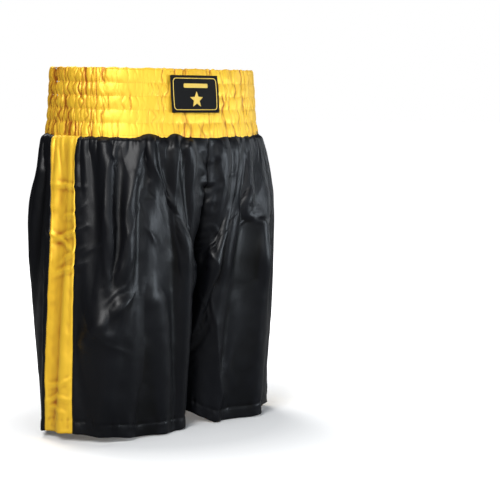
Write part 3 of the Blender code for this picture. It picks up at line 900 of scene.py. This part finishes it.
def hollow_shade_share(grid):
    """How hollow the cloth is at each point of a grid, from 0 to 1: the share of painted shade that its
    colour gets there.
    """
    step = 3
    padded = np.pad(grid, ((step, step), (step, step), (0, 0)), mode="edge")
    middle = slice(step, -step)
    bend = padded[middle, 2 * step :] + padded[middle, : -2 * step] - 2 * grid
    bend += padded[2 * step :, middle] + padded[: -2 * step, middle] - 2 * grid
    return np.clip((bend * normals_of(grid)).sum(axis=-1) / FULL_SHADE_HOLLOW_DEPTH, 0, 1)


def with_hem(grid):
    """The grid with its hem turned up inside, as rows that run back up."""
    inward = -normals_of(grid)
    under = grid[-1:] + inward[-1:] * HEM_TURN_GAP / 2
    under[..., 2] -= 0.0003
    up = travelled(grid[::-1, grid.shape[1] // 2])
    rows = int(np.searchsorted(up[1:], HEM_DEPTH)) + 1
    inside = (grid + inward * HEM_TURN_GAP)[-rows:][::-1]
    return np.concatenate([grid, under, inside])


def cloth_map(grid):
    """The flat cloth's own coordinates, in metres."""
    across = metres_across(grid)
    middle = grid[:, grid.shape[1] // 2]
    along = travelled(middle)
    return np.stack([across, np.broadcast_to(-along[:, None], across.shape)], axis=-1)


def panel_object(name, grid, mirror, finish):
    grid = with_hem(grid)
    uv = cloth_map(grid)
    if mirror:
        grid = (grid * MIRROR)[:, ::-1]
        uv = uv[:, ::-1]
    # the panel's hollows get painted shade in its colour
    made = grid_object(name, grid, uv, finish, painted_crease_shade=hollow_shade_share(grid))
    thicken(made, CLOTH)
    return made


def add_body(black, gold):
    """The six panels. It returns each half's whole surface, as a right half."""
    down = body_rows()
    turn = body_turns(down)
    halves = {side: folded_half(side, down, turn) for side in "RL"}
    halves = draped(halves)
    fine_down = doubled(down, 0)
    fine_turn = finer(turn)
    surfaces = {}
    for side in "RL":
        grid = finer(filled_out(halves[side], down, turn, side))
        grid = fine_detail(grid, fine_down, fine_turn, side)
        grid[..., 2] = np.maximum(grid[..., 2], HEM_CLEARANCE)
        surfaces[side] = grid
    sewn_together(surfaces)
    for side, word in (("R", "right"), ("L", "left")):
        grid = surfaces[side]
        for name, part, finish, flat in (
            (f"front_panel_{word}", grid[:, : FIRST_STRIPE_COLUMN + 1], black, FRONT_FLAT),
            (f"side_stripe_{word}", grid[:, FIRST_STRIPE_COLUMN : LAST_STRIPE_COLUMN + 1], gold, STRIPE_FLAT),
            (f"back_panel_{word}", grid[:, LAST_STRIPE_COLUMN:], black, BACK_FLAT),
        ):
            piece = panel_object(name + "_cloth", part, side == "L", finish)
            stands_for(piece, name)
    return surfaces


# ---------------- the waistband

BAND_COLUMNS = 1280
ROW_STEPS = 10
ELASTIC_ROWS = 5
BAND_OFFSET = 0.0024
BAND_THICKNESS = 0.0050
PUFF = 0.0007
PLEAT_SPACING = 0.0034
PLEAT_DEPTH = 0.0015
MOST_PLEAT = 1.15  # no pleat reaches through to the elastic
MOST_TOP_PLEAT = 2
SIDE_ANGLE = 1.75  # where the band turns away to the side
FLAT_ANGLE = 0.75  # where its pleats are shallowest
JOIN_ANGLE = 1.22  # where the strip's two ends are sewn together
JOIN_RADIUS = 0.15
JOIN_DEPTH = 2.0
JOIN_FROM = 0.045  # above the waist seam; below it the pleats hide the join
# how strongly the pleats' depth paints shade into the band's colour
PLEAT_PAINTED_SHADE = 0.72


def pleat_strength(angles):
    """How deep the pleats are round the band: deep at both sides, shallow on the flat front."""
    turned = np.abs((angles + np.pi) % (2 * np.pi) - np.pi)
    strength = 0.60 + 1.10 * near(turned - SIDE_ANGLE, 0.45)
    return strength * (1 - 0.55 * near(angles - FLAT_ANGLE, 0.36))


def pleat_depth(position, round_length, heights):
    """The pleats' depth over the band: sharp valleys that zigzag down the rows, each stronger in some."""
    random = np.random.default_rng(70)
    count = int(round_length / PLEAT_SPACING)
    centres = (np.arange(count) + random.uniform(-0.45, 0.45, count)) * round_length / count
    widths = random.uniform(0.0008, 0.0017, count)
    zigzag = random.normal(0, 0.0017, (2 * ELASTIC_ROWS + 1, count))
    weight = random.gamma(1.6, 0.55, (ELASTIC_ROWS, count)) * (random.random((ELASTIC_ROWS, count)) < 0.80)
    depth = np.zeros((len(heights), len(position)))
    for i, share in enumerate(heights / heights[-1] * ELASTIC_ROWS):
        row = min(int(share), ELASTIC_ROWS - 1)
        across_row = share - row
        half = min(2 * share, 2 * ELASTIC_ROWS - 1e-6)
        shift = mix(zigzag[int(half)], zigzag[int(half) + 1], smoothstep(half % 1))
        other = np.clip(row + (1 if across_row > 0.5 else -1), 0, ELASTIC_ROWS - 1)
        blend = 0.5 * smoothstep((np.abs(across_row - 0.5) - 0.32) / 0.18)
        strength = mix(weight[row], weight[other], blend) * (0.75 + 0.35 * abs(2 * across_row - 1))
        gap = position[None] - (centres + shift)[:, None]
        gap = np.abs((gap + round_length / 2) % round_length - round_length / 2)
        depth[i] = (strength[:, None] * np.exp(-gap / widths[:, None])).sum(axis=0)
    return depth


def band_path(angles):
    """How far each angle is round the band, and the whole way round, in metres."""
    line = band_point(angles, WAISTBAND_HEIGHT / 2, 0.0)
    position = travelled(np.concatenate([line, line[:1]]))
    return position[:-1], position[-1]


def band_outside(angles, heights, position, strength, depth):
    """The band's outer face: puffed rows cut by the pleats, with a ruffled lower edge."""
    share = (heights / heights[-1])[:, None]
    puff = np.abs(np.sin(np.pi * share * ELASTIC_ROWS)) ** 0.7
    row_number = np.minimum(np.floor(share * ELASTIC_ROWS), ELASTIC_ROWS - 1)
    uneven = 1 + 0.45 * value_noise(position / 0.011, row_number * 7.3, 22)
    offset = BAND_OFFSET + PUFF * puff * uneven * (0.5 + 1.1 * strength)
    offset -= PLEAT_DEPTH * np.minimum(depth, MOST_PLEAT)
    offset += 0.0005 * value_noise(position / 0.0045, heights[:, None] / 0.009, 23) * strength
    offset += 0.0008 * value_noise(position / 0.030, heights[:, None] / 0.030, 27)
    sway = 0.0009 * value_noise(position / 0.010, 0.0, 24)
    lifted = heights[:, None] + sway * np.abs(np.sin(np.pi * share * ELASTIC_ROWS / 2))
    lifted[0] = -0.0016 + 0.0014 * value_noise(position / 0.008, 0.0, 25)
    return band_point(angles, lifted, offset)


def band_top(angles, top, position, edge_depth):
    """The fold over the band's top, in rows from outside to inside."""
    radius = BAND_THICKNESS / 2
    turns = np.linspace(0, np.pi, 7)[1:-1, None]
    deep = np.minimum(edge_depth, MOST_TOP_PLEAT)
    ripple = 0.0008 * value_noise(position / 0.005, 0.0, 26) - 0.0004 * deep
    offset = BAND_OFFSET - radius + (radius - 0.6 * PLEAT_DEPTH * deep) * np.cos(turns)
    return band_point(angles, top + (radius + ripple) * np.sin(turns), offset)


def band_inside(angles, top, depth):
    """The band's smoother inner face, in rows from the top down, and the pleats' depth on it."""
    share = np.linspace(1, 0, 12)
    depth = depth[(share * (len(depth) - 1)).astype(int)]
    puff = np.abs(np.sin(np.pi * share * ELASTIC_ROWS))[:, None]
    offset = BAND_OFFSET - BAND_THICKNESS + 0.0005 - 0.0008 * puff + 0.0004 * depth
    height = np.broadcast_to(top * share[:, None], offset.shape)
    return band_point(angles, height, offset), depth


def add_waistband(gold):
    """The casing: one strip up the outside, over the top and down the inside. It returns the outer face."""
    angles = np.linspace(0, 2 * np.pi, BAND_COLUMNS, endpoint=False)
    heights = np.linspace(0, WAISTBAND_HEIGHT - BAND_THICKNESS / 2, ELASTIC_ROWS * ROW_STEPS + 1)
    position, round_length = band_path(angles)
    top = heights[-1]
    strength = pleat_strength(angles)
    depth = pleat_depth(position, round_length, heights) * strength
    join = near((angles - JOIN_ANGLE) * JOIN_RADIUS, 0.0008)
    depth += JOIN_DEPTH * join * smoothstep((heights[:, None] - JOIN_FROM) / 0.02)
    outer = band_outside(angles, heights, position, strength, depth)
    fold = band_top(angles, top, position, depth[-1])
    inner, inner_depth = band_inside(angles, top, depth)
    grid = np.concatenate([outer, fold, inner])[::-1]
    # painted shade: the pleats' valleys, a little less over the top and inside, darken the band's colour
    dark = np.concatenate([depth, np.tile(depth[-1] * 0.8, (len(fold), 1)), inner_depth * 0.7])[::-1]
    uv = np.stack(np.broadcast_arrays(position[None], travelled(grid[:, 0])[:, None]), axis=-1)
    painted_crease_shade = PLEAT_PAINTED_SHADE * dark - 0.14
    made = grid_object("waistband_casing_cloth", grid, uv, gold, closed=True, painted_crease_shade=painted_crease_shade)
    stands_for(made, "waistband_casing")
    return outer


# ---------------- stitching

STITCH_LENGTH = 0.0026
STITCH_GAP = 0.0009
THREAD_RADIUS = 0.00028
THREAD_CORNERS = 6
THREAD_TAPER = np.array([0.35, 0.9, 1, 0.9, 0.35])  # the rings of points along one stitch
STITCH_POINTS = THREAD_CORNERS * len(THREAD_TAPER)
STITCH_ENDS = ((0, 1, 2, 3), (0, 3, 4, 5), (27, 26, 25, 24), (29, 28, 27, 24))


def add_stitches(name, node, line, outward, finish, slot):
    """A row of short lock stitches along a closed line, each sunk into the cloth at its ends."""
    ring = np.concatenate([line, line[:1]])
    position = travelled(ring)
    out = np.concatenate([outward, outward[:1]])
    count = int(position[-1] / (STITCH_LENGTH + STITCH_GAP))
    starts = np.arange(count) * position[-1] / count
    shares = np.linspace(0, 1, len(THREAD_TAPER))
    at = starts[:, None] + shares * STITCH_LENGTH
    centre = np.stack([np.interp(at, position, ring[:, k]) for k in range(3)], axis=-1)
    normal = units(np.stack([np.interp(at, position, out[:, k]) for k in range(3)], axis=-1))
    centre = centre + normal * (THREAD_RADIUS * (1.6 * np.sin(np.pi * shares) - 0.5))[:, None]
    side = np.cross(units(np.gradient(centre, axis=1)), normal)
    corners = (np.arange(THREAD_CORNERS) * 2 * np.pi / THREAD_CORNERS)[:, None]
    radii = (THREAD_RADIUS * THREAD_TAPER)[:, None, None]
    spread = normal[:, :, None] * np.cos(corners) + side[:, :, None] * np.sin(corners)
    faces = [*grid_faces(len(THREAD_TAPER), THREAD_CORNERS, closed=True), *STITCH_ENDS]
    every = [[c + STITCH_POINTS * n for c in face] for n in range(count) for face in faces]
    made = mesh_object(name, centre[:, :, None] + radii * spread, every, finish)
    stands_for(made, node)


def add_band_stitches(outer, thread):
    outward = outer - outer.mean(axis=1, keepdims=True)
    outward[..., 2] = 0
    look = (thread, "gold_thread")
    for k in range(1, ELASTIC_ROWS):
        row = k * ROW_STEPS
        add_stitches(f"waistband_stitches_{k}", f"waistband_stitch_{k}", outer[row], outward[row], *look)
    add_stitches("waist_seam_stitches", "waist_seam_stitch", outer[1], outward[1], *look)


def add_hem_stitches(surfaces, thread):
    for side, word in (("R", "right"), ("L", "left")):
        grid = surfaces[side]
        up = lengths(np.diff(grid, axis=0))[::-1].cumsum(axis=0)
        columns = np.arange(grid.shape[1] - 1)
        rows = [len(grid) - 2 - int(np.searchsorted(up[:, k], HEM_STITCH_HEIGHT)) for k in columns]
        line, outward = grid[rows, columns], normals_of(grid)[rows, columns]
        if side == "L":
            line, outward = line * MIRROR, outward * MIRROR
        add_stitches(f"hem_stitches_{word}", f"hem_stitch_{word}", line, outward, thread, "black_thread")


# ---------------- patch and size label

PATCH_WIDTH = 0.092
PATCH_HEIGHT = 0.056
PATCH_ASIDE = -0.022
PATCH_MIDDLE = WAISTBAND_HEIGHT - 0.010 - PATCH_HEIGHT / 2
PATCH_OFFSET = 0.0052
PATCH_THICKNESS = 0.0011
BORDER_INSET = 0.0045
BORDER_WIDTH = 0.0013
BORDER_CORNER = 0.005
BORDER_RISE = 0.0006
THREAD_SUNK = 0.0002  # how far the raised marks go into the backing
BAR_HALF = (0.023, 0.00325)
BAR_CORNER = 0.0018
BAR_UP = 0.0125
BAR_RISE = 0.0007
STAR_RADIUS = 0.0125
STAR_INNER = 0.45
STAR_POINTS = 5
STAR_UP = -0.0085
STAR_RISE = 0.0008
LABEL_CURL = 0.0030
LABEL_CUP = 0.0012
LABEL_THICKNESS = 0.0004


def on_patch(x, z, above):
    """Points on the patch, from its middle: x to the wearer's left, z up, above its face."""
    side = x + PATCH_ASIDE
    height = z + PATCH_MIDDLE
    width = size_at(SEAM_HEIGHT + height, HALF_WIDTHS)
    angle = -np.sign(side) * np.arcsin(np.clip(np.abs(side) / width, 0, 1) ** (SQUARENESS / 2))
    buckle = 0.0006 * np.sin(x / PATCH_WIDTH * 7 + 1)
    buckle = buckle + 0.0005 * np.sin(z / PATCH_HEIGHT * 6 + x / PATCH_WIDTH * 3)
    lift = 0.0008 * (np.abs(x) / PATCH_WIDTH * 2) ** 6
    return band_point(angle, height, PATCH_OFFSET + above + buckle + lift)


def slab(name, outline, low, high, finish, rounding=0.0003, rings=1):
    """A thin raised shape on the patch: rings of outline points, from its rim up and in to its middle."""
    outline = np.array(outline, float)
    centre = outline.mean(axis=0)
    levels = [(1.0, low), (1.0, high - rounding), (1 - rounding / 0.01, high)]
    levels += [(share, high) for share in np.linspace(0.9, 0.15, rings)]
    layers = [on_patch(*(centre + (outline - centre) * share).T, above) for share, above in levels]
    count = len(outline)
    points = np.concatenate([*layers, on_patch(centre[:1], centre[1:], high)])
    faces = [face[:1] + face[:0:-1] for face in grid_faces(len(layers), count, closed=True)]  # turned over
    last = (len(layers) - 1) * count
    faces += [[last + i, last + (i + 1) % count, len(points) - 1] for i in range(count)]
    return mesh_object(name, points, faces, finish)


def rounded_rectangle(half_x, half_z, radius, corner_steps=6, side_steps=14):
    """Points round a rectangle with rounded corners, anticlockwise."""
    path = []
    for sx, sz, start in ((1, -1, -90), (1, 1, 0), (-1, 1, 90), (-1, -1, 180)):
        cx, cz = sx * (half_x - radius), sz * (half_z - radius)
        for step in range(corner_steps + 1):
            a = math.radians(start + 90 * step / corner_steps)
            path.append((cx + radius * math.cos(a), cz + radius * math.sin(a)))
    path = np.array(path + path[:1])
    dense = []
    for a, b in zip(path, path[1:]):
        steps = max(1, int(lengths(b - a) / (half_x / side_steps)))
        dense += [a + (b - a) * k / steps for k in range(steps)]
    return np.array(dense)


def star(radius, inner, points, middle):
    corners = []
    for i in range(2 * points):
        reach = radius * (inner if i % 2 else 1)
        a = math.pi / 2 + math.pi * i / points
        corners.append(np.array((reach * math.cos(a), middle + reach * math.sin(a))))
    dense = []
    for a, b in zip(corners, corners[1:] + corners[:1]):
        dense += [a + (b - a) * k / 4 for k in range(4)]
    return dense


def add_patch():
    """The patch's backing, its thin frame, and a bar over a star."""
    woven = plain_cloth("patch_black_weave", (0.004, 0.004, 0.004), 0.75, scale=1400)
    yellow = embroidered("patch_yellow_thread", (0.98, 0.68, 0.12))
    half_x, half_z = PATCH_WIDTH / 2, PATCH_HEIGHT / 2
    face, sunk = PATCH_THICKNESS, PATCH_THICKNESS - THREAD_SUNK
    backing = slab("patch_backing_cloth", rounded_rectangle(half_x, half_z, 0.0012), 0, face, woven, rings=8)
    bar_outline = rounded_rectangle(*BAR_HALF, BAR_CORNER) + (0, BAR_UP)
    bar = slab("patch_bar_thread", bar_outline, sunk, face + BAR_RISE, yellow)
    star_outline = star(STAR_RADIUS, STAR_INNER, STAR_POINTS, STAR_UP)
    emblem = slab("patch_star_thread", star_outline, sunk, face + STAR_RISE, yellow)
    frame_path = rounded_rectangle(half_x - BORDER_INSET, half_z - BORDER_INSET, BORDER_CORNER, side_steps=30)
    ahead = units(np.roll(frame_path, -1, axis=0) - np.roll(frame_path, 1, axis=0))
    aside = np.stack([ahead[:, 1], -ahead[:, 0]], axis=-1)
    rows = []
    for turn in np.linspace(0, np.pi, 6):
        x, z = (frame_path + aside * math.cos(turn) * BORDER_WIDTH / 2).T
        rows.append(on_patch(x, z, face + math.sin(turn) * BORDER_RISE - 0.0001))
    grid = np.stack(rows)
    uv = np.stack(np.meshgrid(np.arange(grid.shape[1]) * 0.001, np.arange(len(rows)) * 0.0003), axis=-1)
    border = grid_object("patch_border_thread", grid, uv, yellow, closed=True)
    for piece, node, slot in (
        (backing, "patch_backing", "black_satin"),
        (border, "patch_border", "gold_satin"),
        (bar, "patch_bar", "gold_satin"),
        (emblem, "patch_star", "gold_satin"),
    ):
        stands_for(piece, node)


def add_size_label():
    """A blank woven tag, a little curled, sewn in along its top edge."""
    low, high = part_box("size_label")
    width, length = high.x - low.x, high.z - low.z
    x, z = np.meshgrid(np.linspace(-width / 2, width / 2, 25), np.linspace(0, length, 34))
    curl = -LABEL_CURL * (z / length) ** 2.5 - LABEL_CUP * (x / width * 2) ** 2 * (z / length)
    grid = np.stack([x, high.y - 0.0002 + curl, high.z - z], axis=-1)[:, ::-1]
    uv = np.stack([x, -z], axis=-1)
    white = plain_cloth("tag_white", (0.78, 0.78, 0.75), 0.5, 1600, 0.25)
    tag = grid_object("size_label_cloth", grid, uv, white)
    thicken(tag, LABEL_THICKNESS)
    stands_for(tag, "size_label", body="label")


def main():
    add_camera()
    add_studio()
    add_floor()
    black = satin("black_satin_cloth", *BLACK_TONES_AND_CREASE_SHADE, roughness=0.38, shine=0.22)
    gold = satin("gold_satin_cloth", *GOLD_TONES_AND_CREASE_SHADE, roughness=0.46, shine=0.5, tint=0.35)
    gold_thread = plain_cloth("gold_thread_cloth", (0.72, 0.36, 0.03), 0.6)
    black_thread = plain_cloth("black_thread_cloth", (0.004, 0.004, 0.005), 0.9)
    elastic = plain_cloth("elastic_cloth", (0.75, 0.75, 0.72), 0.85, 500)
    surfaces = add_body(black, gold)
    add_hem_stitches(surfaces, black_thread)
    outer = add_waistband(gold)
    add_band_stitches(outer, gold_thread)
    add_patch()
    add_size_label()
    for row in range(1, ELASTIC_ROWS + 1):
        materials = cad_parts[f"elastic_tape_{row}"].data.materials
        materials.clear()
        materials.append(elastic)


main()
